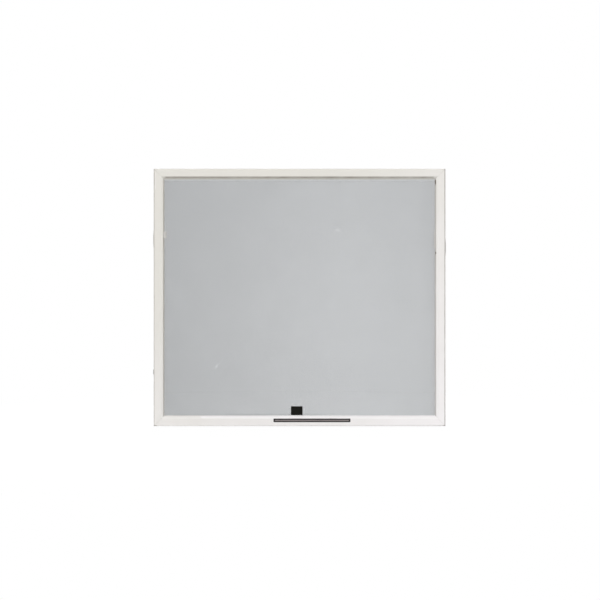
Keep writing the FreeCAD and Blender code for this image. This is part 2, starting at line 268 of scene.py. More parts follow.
# Painted highlights on the left edge and inner corner at the top left, and along the bottom rail's
# slope
PAINTED_HIGHLIGHTS = [
    (-305.4 * MM, 520 * MM, 0.9 * MM, 18 * MM, 0.7),
    (-295.3 * MM, 529.4 * MM, 1.2 * MM, 1.2 * MM, 0.9),
    (-291.6 * MM, 524.8 * MM, 1.4 * MM, 1.4 * MM, 0.7),
    (-10 * MM, 19.2 * MM, 200 * MM, 2.4 * MM, 0.5),
]


# Dirt and painted shade stay in front of this depth, and are this thick, from 0 to 1, where they
# lie
FRONT_HALF_END = 0.3 * MM
SLOPE_SHADE = 0.66
RECESS_SHADE = 0.38
EDGE_SHADE = 0.5
LEFT_FOOT_SHADE = 0.04
RIGHT_FOOT_SHADE = 0.2
MITRE_GRIME = 0.16
BOTTOM_CORNER_GRIME = 0.7
# What is left of the slope's painted shade on the ledge and close to the corners, and of the right
# edge's painted shade on the left edge
LEDGE_SHARE = 0.2
NEAR_CORNER_SHARE = 0.4
LEFT_EDGE_SHARE = 0.55


def grime_and_painted_shade(add, place, at):
    """How much dirt and painted shade lie on the bars, from 0 to 1: painted shade under the top
    rail's slope, in the stiles' recess and along the outer and bottom edges, painted shadows in
    small marks, and dirt in the mitres and at the bottom corners."""
    in_top = add("ShaderNodeMath", {0: at["side"], 1: at["top"]}, operation="GREATER_THAN")
    in_stile = add("ShaderNodeMath", {0: at["side"], 1: at["end"]}, operation="LESS_THAN")

    # Painted shade under the top rail's slope, less on the ledge and close to the corners
    slope = add("ShaderNodeMapRange", {
        "Value": at["top"], "From Min": SLOPE_START + 0.7 * MM, "From Max": SLOPE_START + 2.5 * MM,
        "To Max": SLOPE_SHADE}, interpolation_type="SMOOTHSTEP")
    ledge = add("ShaderNodeMapRange", {
        "Value": at["top"], "From Min": SLOPE_END - 0.9 * MM, "From Max": SLOPE_END + 0.1 * MM,
        "To Min": 1, "To Max": LEDGE_SHARE}, interpolation_type="SMOOTHSTEP")
    off_corner = add("ShaderNodeMapRange", {
        "Value": at["side"], "From Min": BAR_WIDTH + 1 * MM, "From Max": BAR_WIDTH + 3.5 * MM,
        "To Min": NEAR_CORNER_SHARE, "To Max": 1})
    slope = add("ShaderNodeMath", {0: slope, 1: ledge}, operation="MULTIPLY")
    slope = add("ShaderNodeMath", {0: slope, 1: off_corner}, operation="MULTIPLY")
    slope = add("ShaderNodeMath", {0: slope, 1: in_top}, operation="MULTIPLY")

    # Painted shade in the stiles' recess, next to the mesh
    recess = add("ShaderNodeMapRange", {
        "Value": at["side"], "From Min": SLOPE_END - 2 * MM, "From Max": SLOPE_END,
        "To Max": RECESS_SHADE}, interpolation_type="SMOOTHSTEP")
    recess = add("ShaderNodeMath", {0: recess, 1: in_stile}, operation="MULTIPLY")

    # Painted shade along the rounded front of the outer edges, more on the right, and not on the
    # sides
    edge = add("ShaderNodeMapRange", {
        "Value": at["side"], "From Min": 2 * MM, "From Max": 3 * MM,
        "To Min": EDGE_SHADE, "To Max": 0})
    right_more = add("ShaderNodeMapRange", {
        "Value": at["x"], "From Min": -HALF_WIDTH, "From Max": HALF_WIDTH,
        "To Min": LEFT_EDGE_SHARE, "To Max": 1})
    arris = add("ShaderNodeMath", {0: at["y"], 1: FACE_Y + 1.5 * MM}, operation="LESS_THAN")
    edge = add("ShaderNodeMath", {0: edge, 1: right_more}, operation="MULTIPLY")
    edge = add("ShaderNodeMath", {0: edge, 1: arris}, operation="MULTIPLY")

    # Painted shade along the bottom edge, more towards the right
    foot = add("ShaderNodeMapRange", {
        "Value": at["x"], "From Min": -HALF_WIDTH / 2, "From Max": HALF_WIDTH,
        "To Min": LEFT_FOOT_SHADE, "To Max": RIGHT_FOOT_SHADE})
    foot = add("ShaderNodeMapRange", {
        "Value": at["z"], "From Min": 1.4 * MM, "From Max": 3.4 * MM, "To Min": foot, "To Max": 0})

    # In the fine gap of the mitres
    off_mitre = add("ShaderNodeMath", {0: at["side"], 1: at["end"]}, operation="SUBTRACT")
    off_mitre = add("ShaderNodeMath", {0: off_mitre}, operation="ABSOLUTE")
    mitre = add("ShaderNodeMapRange", {
        "Value": off_mitre, "From Min": 0.2 * MM, "From Max": 0.6 * MM,
        "To Min": MITRE_GRIME, "To Max": 0})

    # On the bottom corners, where the screen is set down
    corner = add("ShaderNodeMapRange", {
        "Value": at["side"], "From Min": 3.5 * MM, "From Max": 9 * MM,
        "To Min": BOTTOM_CORNER_GRIME, "To Max": 0})
    low = add("ShaderNodeMath", {0: at["z"], 1: 2 * MM}, operation="LESS_THAN")
    corner = add("ShaderNodeMath", {0: corner, 1: low}, operation="MULTIPLY")

    # The thickest of these counts, with the painted shadow marks on top, and it lies unevenly and
    # only on the front half of the bars
    total = slope
    for part in (recess, edge, foot, mitre, corner):
        total = add("ShaderNodeMath", {0: total, 1: part}, operation="MAXIMUM")
    # Painted shadows at the top right inner corner, on the right stile's inner edge and along the
    # top of the left outer edge
    for x, z, half_x, half_z, amount in SHADOW_MARKS:
        middle, half = (x, FACE_Y, z), (half_x, 1, half_z)
        shadow_mark = rounded_box(add, place, middle, half, min(half_x, half_z), 0.4 * MM)
        total = add("ShaderNodeMath", {0: shadow_mark, 1: amount, 2: total}, operation="MULTIPLY_ADD")
    patches = add("ShaderNodeTexNoise", {"Vector": place, "Scale": 1 / (25 * MM), "Detail": 4})
    uneven = add("ShaderNodeMapRange", {
        "Value": patches, "From Min": 0.3, "From Max": 0.7, "To Min": 0.8, "To Max": 1.15})
    total = add("ShaderNodeMath", {0: total, 1: uneven}, operation="MULTIPLY")
    front = add("ShaderNodeMath", {0: at["y"], 1: FRONT_HALF_END}, operation="LESS_THAN")
    return add("ShaderNodeMath", {0: total, 1: front}, operation="MULTIPLY")


def printed_strip(add, place, colours, sizes):
    """The printed strip's colour, with one fine pale line along it, and where it lies."""
    corner = 1.2 * MM
    end_margin = 3.5 * MM
    half = (sizes.strip_length / 2, 1 * MM, sizes.strip_height / 2)
    middle = (sizes.strip_left + half[0], FACE_Y, sizes.strip_middle)
    strip = rounded_box(add, place, middle, half, corner)
    line_half = (half[0] - end_margin, half[1], sizes.strip_line / 2)
    line = rounded_box(add, place, middle, line_half, sizes.strip_line / 2)
    ink = add("ShaderNodeMix", {
        FACTOR: line, FIRST: colours.print_ink, SECOND: colours.print_pale}, data_type="RGBA")
    return ink, strip


def enamel_on_aluminium(colours, sizes):
    """Baked enamel on roll-formed aluminium: an even satin off-white with a faint orange peel and
    rolling lines along each bar. It is darker and yellower towards the top left, partly yellowed
    paint and partly painted shade, dirt has settled in its corners and mitres, painted shade and
    painted shadows darken its slope, recess and edges, painted highlights lighten small marks, and
    the bottom rail carries a dark printed strip."""
    material, add, place = new_material("baked_enamel_on_aluminium")
    at = distances(add, place)

    # Yellowing of the paint, together with painted shade for the light falling off to the left,
    # grows by 0.6 from the right to the left and by 0.85 from the bottom to the top
    yellowing_and_shade_gradient = (-0.6 / (2 * HALF_WIDTH), 0, 0.85 / HEIGHT)
    yellowing_shade_and_highlights = add("ShaderNodeVectorMath", {0: place, 1: yellowing_and_shade_gradient}, operation="DOT_PRODUCT")
    patches = add("ShaderNodeTexNoise", {"Vector": place, "Scale": 1 / (90 * MM), "Detail": 3})
    yellowing_shade_and_highlights = add("ShaderNodeMath", {0: patches, 1: 0.45, 2: yellowing_shade_and_highlights}, operation="MULTIPLY_ADD")
    # Painted highlights lighten the paint back towards its clean colour
    for x, z, half_x, half_z, amount in PAINTED_HIGHLIGHTS:
        middle, half = (x, FACE_Y, z), (half_x, 1, half_z)
        highlight = rounded_box(add, place, middle, half, min(half_x, half_z), 0.4 * MM)
        yellowing_shade_and_highlights = add("ShaderNodeMath", {0: highlight, 1: -amount, 2: yellowing_shade_and_highlights}, operation="MULTIPLY_ADD")
    colour = add("ShaderNodeMix", {
        FACTOR: yellowing_shade_and_highlights, FIRST: colours.paint, SECOND: colours.yellowed_and_shaded_paint}, data_type="RGBA")
    grime_and_shade = grime_and_painted_shade(add, place, at)
    colour = add("ShaderNodeMix", {
        FACTOR: grime_and_shade, FIRST: colour, SECOND: colours.grime_and_shade}, data_type="RGBA")
    ink, strip = printed_strip(add, place, colours, sizes)
    colour = add("ShaderNodeMix", {FACTOR: strip, FIRST: colour, SECOND: ink}, data_type="RGBA")

    # Rolling lines: how far apart they lie, and how far one runs along its bar
    line_spacing, line_run = 0.8 * MM, 60 * MM
    in_stile = add("ShaderNodeMath", {0: at["side"], 1: at["end"]}, operation="LESS_THAN")
    along = add("ShaderNodeMix", {
        FACTOR: in_stile, FIRST_NUMBER: at["x"], SECOND_NUMBER: at["z"]}, data_type="FLOAT")
    stretched = add("ShaderNodeMath", {
        0: along, 1: line_spacing / line_run}, operation="MULTIPLY")
    drawn = add("ShaderNodeCombineXYZ", {0: at["nearest"], 1: stretched, 2: at["y"]})
    lines = add("ShaderNodeTexNoise", {"Vector": drawn, "Scale": 1 / line_spacing, "Detail": 2})
    dulling = add("ShaderNodeMath", {0: grime_and_shade, 1: 0.25, 2: 0.35}, operation="MULTIPLY_ADD")
    rough = add("ShaderNodeMath", {0: lines, 1: 0.1, 2: dulling}, operation="MULTIPLY_ADD")

    peel = add("ShaderNodeTexNoise", {"Vector": place, "Scale": 1 / (1.4 * MM), "Detail": 2})
    relief = add("ShaderNodeMath", {0: lines, 1: 0.4, 2: peel}, operation="MULTIPLY_ADD")
    bump = add("ShaderNodeBump", {"Height": relief, "Distance": 0.006 * MM})
    shader = add("ShaderNodeBsdfPrincipled", {
        "Base Color": colour, "Roughness": rough, "IOR": 1.5, "Normal": bump})
    add("ShaderNodeOutputMaterial", {"Surface": shader})
    return material


# How much of the lint's colour the mesh takes close under the top rail, as painted light against
# the rail's shadow, and how dark the painted shade is where the mesh meets the bottom rail and the
# left stile
LIGHT_UNDER_TOP_RAIL = 0.72
SHADE_BELOW = 1
SHADE_BESIDE = 0.5

# Lint and specks caught in the mesh, and a painted shadow under the left pull tab: x, z, half
# width and half height, and how much of the lint's or the clean mesh's colour they take
LINT = [
    (81.5 * MM, 415.9 * MM, 4.4 * MM, 4.6 * MM, 0.3),
    (-176.8 * MM, 126.8 * MM, 1.6 * MM, 4.0 * MM, 0.6),
    (-170.2 * MM, 133.4 * MM, 1.6 * MM, 1.6 * MM, 0.4),
]
SPECKS_AND_TAB_SHADOW = [
    (78.9 * MM, 427.0 * MM, 2.2 * MM, 2.0 * MM, 0.9),
    (87.4 * MM, 421.6 * MM, 1.6 * MM, 2.0 * MM, 0.7),
    (-175.5 * MM, 138.7 * MM, 2.2 * MM, 2.0 * MM, 0.9),
    (-161.3 * MM, 133.8 * MM, 2.0 * MM, 2.0 * MM, 0.7),
    # Painted shadow under the left pull tab
    (-285.6 * MM, 397.4 * MM, 2.4 * MM, 1.8 * MM, 0.8),
]


def mesh_dust_and_shade(add, place, at):
    """How grey the strands are, from 0 to 1: dustiest right of the middle and low down, thinner
    high up, lower at the left, where it is partly cleaner mesh and partly painted shade, and lower
    close to the stiles as painted shade."""
    dustiest_x = 107 * MM
    # The mesh darkens towards the left: less dust, and painted shade for the light falling off
    # there
    gathered = add("ShaderNodeMapRange", {
        "Value": at["x"], "From Min": -310 * MM, "From Max": dustiest_x})
    thinner = add("ShaderNodeMapRange", {
        "Value": at["x"], "From Min": dustiest_x, "From Max": HALF_WIDTH,
        "To Min": 1, "To Max": 0.84})
    # Painted shade on the mesh close to the stiles
    near_bar = add("ShaderNodeMapRange", {
        "Value": at["side"], "From Min": BAR_WIDTH, "From Max": 60 * MM,
        "To Min": 0.8, "To Max": 1}, interpolation_type="SMOOTHSTEP")
    patches = add("ShaderNodeTexNoise", {"Vector": place, "Scale": 1 / (60 * MM), "Detail": 3})
    uneven = add("ShaderNodeMapRange", {
        "Value": patches, "From Min": 0.35, "From Max": 0.65, "To Min": -0.06, "To Max": 0.06})
    dust = add("ShaderNodeMath", {0: gathered, 1: thinner}, operation="MULTIPLY")
    higher = add("ShaderNodeMapRange", {
        "Value": at["z"], "From Min": HEIGHT / 3, "From Max": HEIGHT, "To Min": 1, "To Max": 0.75})
    dust = add("ShaderNodeMath", {0: dust, 1: near_bar}, operation="MULTIPLY")
    dust = add("ShaderNodeMath", {0: dust, 1: higher}, operation="MULTIPLY")
    return add("ShaderNodeMath", {0: dust, 1: uneven}, operation="ADD", use_clamp=True)


def mesh_shade_line(add, at):
    """Painted shade on the mesh where it meets the bars: a line along the left half of the bottom
    rail and a fainter one along the left stile."""
    below = add("ShaderNodeMapRange", {
        "Value": at["z"], "From Min": BAR_WIDTH + 2.6 * MM, "From Max": BAR_WIDTH + 3.4 * MM,
        "To Min": SHADE_BELOW, "To Max": 0})
    left_half = add("ShaderNodeMapRange", {
        "Value": at["x"], "From Min": -20 * MM, "From Max": 80 * MM, "To Min": 1, "To Max": 0})
    below = add("ShaderNodeMath", {0: below, 1: left_half}, operation="MULTIPLY")
    beside = add("ShaderNodeMapRange", {
        "Value": at["x"], "From Min": BAR_WIDTH + 1 * MM - HALF_WIDTH,
        "From Max": BAR_WIDTH + 3.4 * MM - HALF_WIDTH, "To Min": SHADE_BESIDE, "To Max": 0})
    return add("ShaderNodeMath", {0: below, 1: beside}, operation="MAXIMUM")


def coated_glass_fibre(colours, sizes, cloth_low):
    """Vinyl-coated glass fibre yarn, woven and fused: charcoal with a dull sheen, greyer where
    dust lies on it and darker as painted shade at the left and next to the bars, with a pale band
    under the top rail that is painted light against the rail's shadow, each strand rising over one
    crossing and dipping at the next."""
    material, add, place = new_material("vinyl_coated_glass_fibre")
    at = distances(add, place)
    # dust holds both the dust on the strands and the painted shade at the left and close to the
    # stiles
    dust = mesh_dust_and_shade(add, place, at)
    colour = add("ShaderNodeMix", {
        FACTOR: dust, FIRST: colours.mesh, SECOND: colours.mesh_dust_and_shade}, data_type="RGBA")
    # Painted shade where the mesh meets the bottom rail and the left stile
    colour = add("ShaderNodeMix", {
        FACTOR: mesh_shade_line(add, at), FIRST: colour, SECOND: colours.mesh}, data_type="RGBA")
    # Painted light: a pale band under the top rail lifts the rail's shadow on the mesh
    lit_under_top_rail = add("ShaderNodeMapRange", {
        "Value": at["top"], "From Min": BAR_WIDTH + 0.8 * MM, "From Max": BAR_WIDTH + 2.4 * MM,
        "To Min": LIGHT_UNDER_TOP_RAIL, "To Max": 0})
    colour = add("ShaderNodeMix", {
        FACTOR: lit_under_top_rail, FIRST: colour, SECOND: colours.lint_and_light}, data_type="RGBA")
    for spots, tint in ((LINT, colours.lint_and_light), (SPECKS_AND_TAB_SHADOW, colours.mesh)):
        for x, z, half_x, half_z, amount in spots:
            radius = min(half_x, half_z)
            spot = rounded_box(add, place, (x, cloth_low.y, z), (half_x, 1, half_z), radius, MM)
            shown = add("ShaderNodeMath", {0: spot, 1: amount}, operation="MULTIPLY")
            colour = add("ShaderNodeMix", {
                FACTOR: shown, FIRST: colour, SECOND: tint}, data_type="RGBA")

    # The yarn's twist is about 0.5 mm, and a full wave of the weave is two strands long
    wave = math.pi / sizes.strand_pitch
    across = add("ShaderNodeMath", {0: at["x"], 1: wave}, operation="MULTIPLY")
    across = add("ShaderNodeMath", {0: across}, operation="COSINE")
    up = add("ShaderNodeMath", {0: at["z"], 1: wave}, operation="MULTIPLY")
    up = add("ShaderNodeMath", {0: up}, operation="COSINE")
    weave = add("ShaderNodeMath", {0: across, 1: up}, operation="MULTIPLY")
    twist = add("ShaderNodeTexNoise", {"Vector": place, "Scale": 1 / (0.5 * MM), "Detail": 1})
    relief = add("ShaderNodeMath", {0: twist, 1: 0.4, 2: weave}, operation="MULTIPLY_ADD")
    bump = add("ShaderNodeBump", {"Height": relief, "Distance": 0.05 * MM})
    rough = add("ShaderNodeMapRange", {"Value": dust, "To Min": 0.5, "To Max": 0.75})
    shader = add("ShaderNodeBsdfPrincipled", {
        "Base Color": colour, "Roughness": rough, "IOR": 1.52, "Specular IOR Level": 0.2,
        "Normal": bump})
    add("ShaderNodeOutputMaterial", {"Surface": shader})
    return material


# How much dust adds to each colour channel of the rubber where its bloom is strongest
PAD_DUST = 0.004
BUMPER_DUST = 0.55


def black_rubber(name, colour, dust):
    """Calendered black rubber: deep matt black with a fine cloth-like grain and a grey
    bloom that grows with its dust, and next to no mirror in it."""
    material, add, place = new_material(name)
    grain = add("ShaderNodeTexNoise", {"Vector": place, "Scale": 1 / (0.6 * MM), "Detail": 3})
    bloom = add("ShaderNodeTexNoise", {"Vector": place, "Scale": 1 / (9 * MM), "Detail": 3})
    faded = [channel * 0.8 + dust for channel in colour[:3]] + [1]
    shade = add("ShaderNodeMix", {FACTOR: bloom, FIRST: colour, SECOND: faded}, data_type="RGBA")
    rough = add("ShaderNodeMapRange", {"Value": grain, "To Min": 0.62, "To Max": 0.82})
    bump = add("ShaderNodeBump", {"Height": grain, "Distance": 0.02 * MM})
    shader = add("ShaderNodeBsdfPrincipled", {
        "Base Color": shade, "Roughness": rough, "Specular IOR Level": 0.1, "Normal": bump})
    add("ShaderNodeOutputMaterial", {"Surface": shader})
    return material


def extruded_vinyl(name, colour, along):
    """Soft vinyl pulled through a die: grey-black with a low sheen and fine lines along
    the length of the spline, and chalky where it has been rolled in."""
    material, add, place = new_material(name)
    squeeze = [0.02 if axis == along else 1 for axis in (X_AXIS, Y_AXIS, Z_AXIS)]
    drawn = add("ShaderNodeMapping", {"Vector": place, "Scale": squeeze})
    lines = add("ShaderNodeTexNoise", {"Vector": drawn, "Scale": 1 / (0.3 * MM), "Detail": 2})
    chalk = add("ShaderNodeTexNoise", {"Vector": place, "Scale": 1 / (7 * MM), "Detail": 3})
    chalk = add("ShaderNodeMapRange", {"Value": chalk, "From Min": 0.35, "From Max": 0.8})
    paler = [channel * 1.7 for channel in colour[:3]] + [1]
    shade = add("ShaderNodeMix", {FACTOR: chalk, FIRST: colour, SECOND: paler}, data_type="RGBA")
    rough = add("ShaderNodeMapRange", {"Value": lines, "To Min": 0.5, "To Max": 0.68})
    bump = add("ShaderNodeBump", {"Height": lines, "Distance": 0.012 * MM})
    shader = add("ShaderNodeBsdfPrincipled", {
        "Base Color": shade, "Roughness": rough, "IOR": 1.53, "Normal": bump})
    add("ShaderNodeOutputMaterial", {"Surface": shader})
    return material


def moulded_plastic(name, colour, milkiness):
    """Injection-moulded plastic with a fine spark-eroded grain: an even milky colour that
    lets a little light in, slightly darker where it has been handled."""
    material, add, place = new_material(name)
    grain = add("ShaderNodeTexNoise", {"Vector": place, "Scale": 1 / (0.5 * MM), "Detail": 3})
    handled = add("ShaderNodeTexNoise", {"Vector": place, "Scale": 1 / (6 * MM), "Detail": 2})
    handled = add("ShaderNodeMapRange", {"Value": handled, "From Min": 0.4, "From Max": 0.75})
    darker = [channel * 0.86 for channel in colour[:3]] + [1]
    shade = add("ShaderNodeMix", {
        FACTOR: handled, FIRST: colour, SECOND: darker}, data_type="RGBA")
    rough = add("ShaderNodeMapRange", {"Value": grain, "To Min": 0.42, "To Max": 0.56})
    bump = add("ShaderNodeBump", {"Height": grain, "Distance": 0.01 * MM})
    shader = add("ShaderNodeBsdfPrincipled", {
        "Base Color": shade, "Roughness": rough, "IOR": 1.5, "Normal": bump,
        "Subsurface Weight": milkiness, "Subsurface Radius": (MM, MM, 0.9 * MM),
        "Subsurface Scale": 0.5})
    add("ShaderNodeOutputMaterial", {"Surface": shader})
    return material


def rolled_steel(colour):
    """Cold-rolled stainless strip: bright grey metal with fine lines along its length."""
    material, add, place = new_material("cold_rolled_stainless_strip")
    drawn = add("ShaderNodeMapping", {"Vector": place, "Scale": (1, 1, 0.03)})
    lines = add("ShaderNodeTexNoise", {"Vector": drawn, "Scale": 1 / (0.25 * MM), "Detail": 2})
    darker = [channel * 0.8 for channel in colour[:3]] + [1]
    shade = add("ShaderNodeMix", {FACTOR: lines, FIRST: colour, SECOND: darker}, data_type="RGBA")
    rough = add("ShaderNodeMapRange", {"Value": lines, "To Min": 0.35, "To Max": 0.5})
    bump = add("ShaderNodeBump", {"Height": lines, "Distance": 0.004 * MM})
    shader = add("ShaderNodeBsdfPrincipled", {
        "Base Color": shade, "Metallic": 1.0, "Roughness": rough, "Normal": bump})
    add("ShaderNodeOutputMaterial", {"Surface": shader})
    return material


def deselect_all():
    if bpy.context.object and bpy.context.object.mode != "OBJECT":
        bpy.ops.object.mode_set(mode="OBJECT")
    bpy.ops.object.select_all(action="DESELECT")


def add_block(name, low, high):
    """A cube primitive stretched between two corners, with its place in its mesh."""
    deselect_all()
    low, high = Vector(low), Vector(high)
    bpy.ops.mesh.primitive_cube_add(size=1, location=(low + high) / 2, scale=high - low)
    piece = bpy.context.object
    piece.name = piece.data.name = name
    bpy.ops.object.transform_apply(location=True, rotation=True, scale=True)
    return piece


def select_faces(piece, wanted):
    """In edit mode, selects the faces for which wanted(centre, normal) is true."""
    bpy.ops.object.mode_set(mode="EDIT")
    bpy.ops.mesh.select_mode(type="FACE")
    bpy.ops.mesh.select_all(action="DESELECT")
    shape = bmesh.from_edit_mesh(piece.data)
    for face in shape.faces:
        face.select_set(wanted(face.calc_center_median(), face.normal))
    bmesh.update_edit_mesh(piece.data)


def lead_end(piece, tip, thickness, runs):
    """Leads a strand's end on from tip through square bends, as (direction, distance) runs.

    Each run ends in a piece as long as the strand is thick, whose side starts the next run.
    """
    for direction, distance in runs:
        for step in (distance - thickness, thickness):
            face_at = tip + direction * thickness / 2
            reach = thickness / 4
            select_faces(piece, lambda centre, normal: (
                (centre - face_at).length < reach and normal.dot(direction) > 0.9))
            bpy.ops.mesh.extrude_region_move(
                TRANSFORM_OT_translate={"value": direction * step})
            tip = tip + direction * step
    bpy.ops.object.mode_set(mode="OBJECT")


def repeat_along(piece, offset, count):
    """Copies a piece along an offset and makes the copies part of its mesh."""
    array = piece.modifiers.new("Array", "ARRAY")
    array.use_relative_offset = False
    array.use_constant_offset = True
    array.constant_offset_displace = offset
    array.count = count
    bpy.context.view_layer.objects.active = piece
    bpy.ops.object.modifier_apply(modifier=array.name)


def join(name, pieces):
    """Joins pieces into one object."""
    deselect_all()
    for piece in pieces:
        piece.select_set(True)
    bpy.context.view_layer.objects.active = pieces[0]
    bpy.ops.object.join()
    pieces[0].name = pieces[0].data.name = name
    return pieces[0]


def strand_layer(name, sizes, run, across, front, lip, rim, floor_y):
    """One direction of the mesh: a strand that dives into the groove at both ends, repeated.

    run and across are unit vectors; lip is where the strand dives, rim where its hem
    ends, both measured along run from the middle, and front is the layer's near side.
    """
    depth = sizes.strand_depth
    reach = lip[0]
    count = int(2 * lip[1] / sizes.strand_pitch) + 1
    first = MIDDLE - across * (count - 1) * sizes.strand_pitch / 2
    half = run * reach + across * sizes.strand_width / 2
    piece = add_block(name, first - half + Y_AXIS * front, first + half + Y_AXIS * (front + depth))
    for end in (-1, 1):
        out = run * end
        tip = first + out * (reach - depth / 2) + Y_AXIS * (front + depth / 2)
        down = front + depth - floor_y
        lead_end(piece, tip, depth, [
            (out, depth),
            (-Y_AXIS, down - depth),
            (out, rim[0] - reach - depth),
            (Y_AXIS, sizes.hem_upstand - depth),
        ])
    repeat_along(piece, across * sizes.strand_pitch, count)
    return piece


class SCREEN_OT_mesh_cloth(bpy.types.Operator):
    """Makes the woven mesh, strand by strand, folded into the grooves"""
    bl_idname = "screen.mesh_cloth"
    bl_label = "Mesh cloth"

    def execute(self, context):
        sizes = context.scene.screen_sizes
        low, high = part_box("screen_cloth")
        spline_low, spline_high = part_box("spline_bottom")
        # The spline lies midway in the groove, as far from its inner wall as from the rim
        rim_to_spline = spline_low.z - low.z
        groove = spline_high.z + rim_to_spline - low.z
        rim = Vector((high.x, high.z - MIDDLE.z))
        lip = rim - Vector((groove, groove))
        front = high.y - sizes.strand_depth
        upright = strand_layer("upright_strands", sizes, Z_AXIS, X_AXIS, front,
                               lip.yx, rim.yx, low.y)
        level = strand_layer("level_strands", sizes, X_AXIS, Z_AXIS,
                             high.y - sizes.crossing_sink, lip, rim, low.y)
        cloth = join("mesh_cloth", [upright, level])
        dress(coated_glass_fibre(context.scene.screen_colours, sizes, low), cloth.name)
        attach(cloth, BODY)
        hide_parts("screen_cloth")
        # Laid flat, the cloth runs on from the lip down, across and up the groove
        return {"FINISHED"}


class SCREEN_OT_rubber_pad(bpy.types.Operator):
    """Makes the black rubber pad on the mesh and finishes the bumper"""
    bl_idname = "screen.rubber_pad"
    bl_label = "Rubber pad"

    def execute(self, context):
        sizes = context.scene.screen_sizes
        low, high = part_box("wear_pad")
        low += Vector((-sizes.pad_spread, 0, sizes.pad_spread))
        high += Vector((sizes.pad_spread, 0, sizes.pad_creep))
        pad = add_block("rubber_pad", low, high)
        bpy.ops.object.mode_set(mode="EDIT")
        bpy.ops.mesh.select_mode(type="EDGE")
        bpy.ops.mesh.select_all(action="DESELECT")
        shape = bmesh.from_edit_mesh(pad.data)
        for edge in shape.edges:
            along = (edge.verts[1].co - edge.verts[0].co).normalized()
            edge.select_set(abs(along.y) > 0.9)
        bmesh.update_edit_mesh(pad.data)
        bpy.ops.mesh.bevel(offset=sizes.pad_corner, segments=5)
        bpy.ops.object.mode_set(mode="OBJECT")
        bevel = pad.modifiers.new("Bevel", "BEVEL")
        bevel.width = sizes.pad_bevel
        bevel.segments = 2
        bpy.context.view_layer.objects.active = pad
        bpy.ops.object.modifier_apply(modifier=bevel.name)
        rubber = context.scene.screen_colours.rubber
        dress(black_rubber("matt_black_rubber_sheet", rubber, PAD_DUST), pad.name)
        dress(black_rubber("dusty_black_rubber", rubber, BUMPER_DUST), "edge_bumper")
        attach(pad, BODY)
        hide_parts("wear_pad")
        return {"FINISHED"}


class SCREEN_OT_bars(bpy.types.Operator):
    """Paints the four bars and prints the strip"""
    bl_idname = "screen.bars"
    bl_label = "Painted bars"

    def execute(self, context):
        scene = context.scene
        dress(enamel_on_aluminium(scene.screen_colours, scene.screen_sizes), *BARS)
        return {"FINISHED"}


class SCREEN_OT_fittings(bpy.types.Operator):
    """Finishes the splines, corner keys, springs and pull tabs"""
    bl_idname = "screen.fittings"
    bl_label = "Fittings"

    def execute(self, context):
        colours = context.scene.screen_colours
        dress(extruded_vinyl("level_extruded_vinyl", colours.spline, X_AXIS), *LEVEL_SPLINES)
        dress(extruded_vinyl("upright_extruded_vinyl", colours.spline, Z_AXIS), *UPRIGHT_SPLINES)
        dress(moulded_plastic("moulded_natural_nylon", colours.nylon, 0.1), *KEYS)
        dress(moulded_plastic("moulded_grey_vinyl", colours.left_tab, 0.0), "pull_tab_left")
        dress(moulded_plastic("moulded_milky_vinyl", colours.right_tab, 0.1), "pull_tab_right")
        dress(rolled_steel(colours.steel), *SPRINGS)
        return {"FINISHED"}


FLOOR_SIZE = 8
FLOOR_GAP = 0.2 * MM

# Soft boxes: azimuth from the room side, elevation, height in metres and watts
SOFT_BOXES = {
    "top_soft_box": (0, 43, 1.2, 9.0),
    "right_soft_box": (50, 0, 0.5, 12.9),
    "left_soft_box": (-50, 0, 0.5, 12.9),
    "back_soft_box": (180, 30, 1.2, 22),
}
SOFT_BOX_WIDTH = 1.2
SOFT_BOX_DISTANCE = 2.0
WORLD_LIGHT = 0.4

# The photograph's frame, in pixels: its size, the screen's width and the screen's middle
IMAGE_PIXELS = 600
SCREEN_PIXELS = 291.9
SCREEN_MIDDLE = (299.57, 297.4)
CAMERA_DISTANCE = 2.6
SENSOR_WIDTH = 36


def add_soft_box(name, azimuth, elevation, height, watts):
    """A flat lamp that faces the middle of the screen."""
    turn, rise = math.radians(azimuth), math.radians(elevation)
    level = math.cos(rise)
    away = Vector((math.sin(turn) * level, -math.cos(turn) * level, math.sin(rise)))
    lamp = bpy.data.lights.new(name, "AREA")
    lamp.shape = "RECTANGLE"
    lamp.size = SOFT_BOX_WIDTH
    lamp.size_y = height
    lamp.energy = watts
    holder = bpy.data.objects.new(name, lamp)
    holder.location = MIDDLE + away * SOFT_BOX_DISTANCE
    holder.rotation_euler = away.to_track_quat("Z", "Y").to_euler()
    holder.visible_camera = False
    bpy.context.scene.collection.objects.link(holder)


def seen_rays(add):
    """1 for rays that the eye sees straight, mirrored or through glass, 0 for the rest."""
    path = add("ShaderNodeLightPath").outputs
    seen = add("ShaderNodeMath", {0: path["Is Camera Ray"], 1: path["Is Glossy Ray"]},
               operation="MAXIMUM")
    return add("ShaderNodeMath", {0: seen, 1: path["Is Transmission Ray"]}, operation="MAXIMUM")


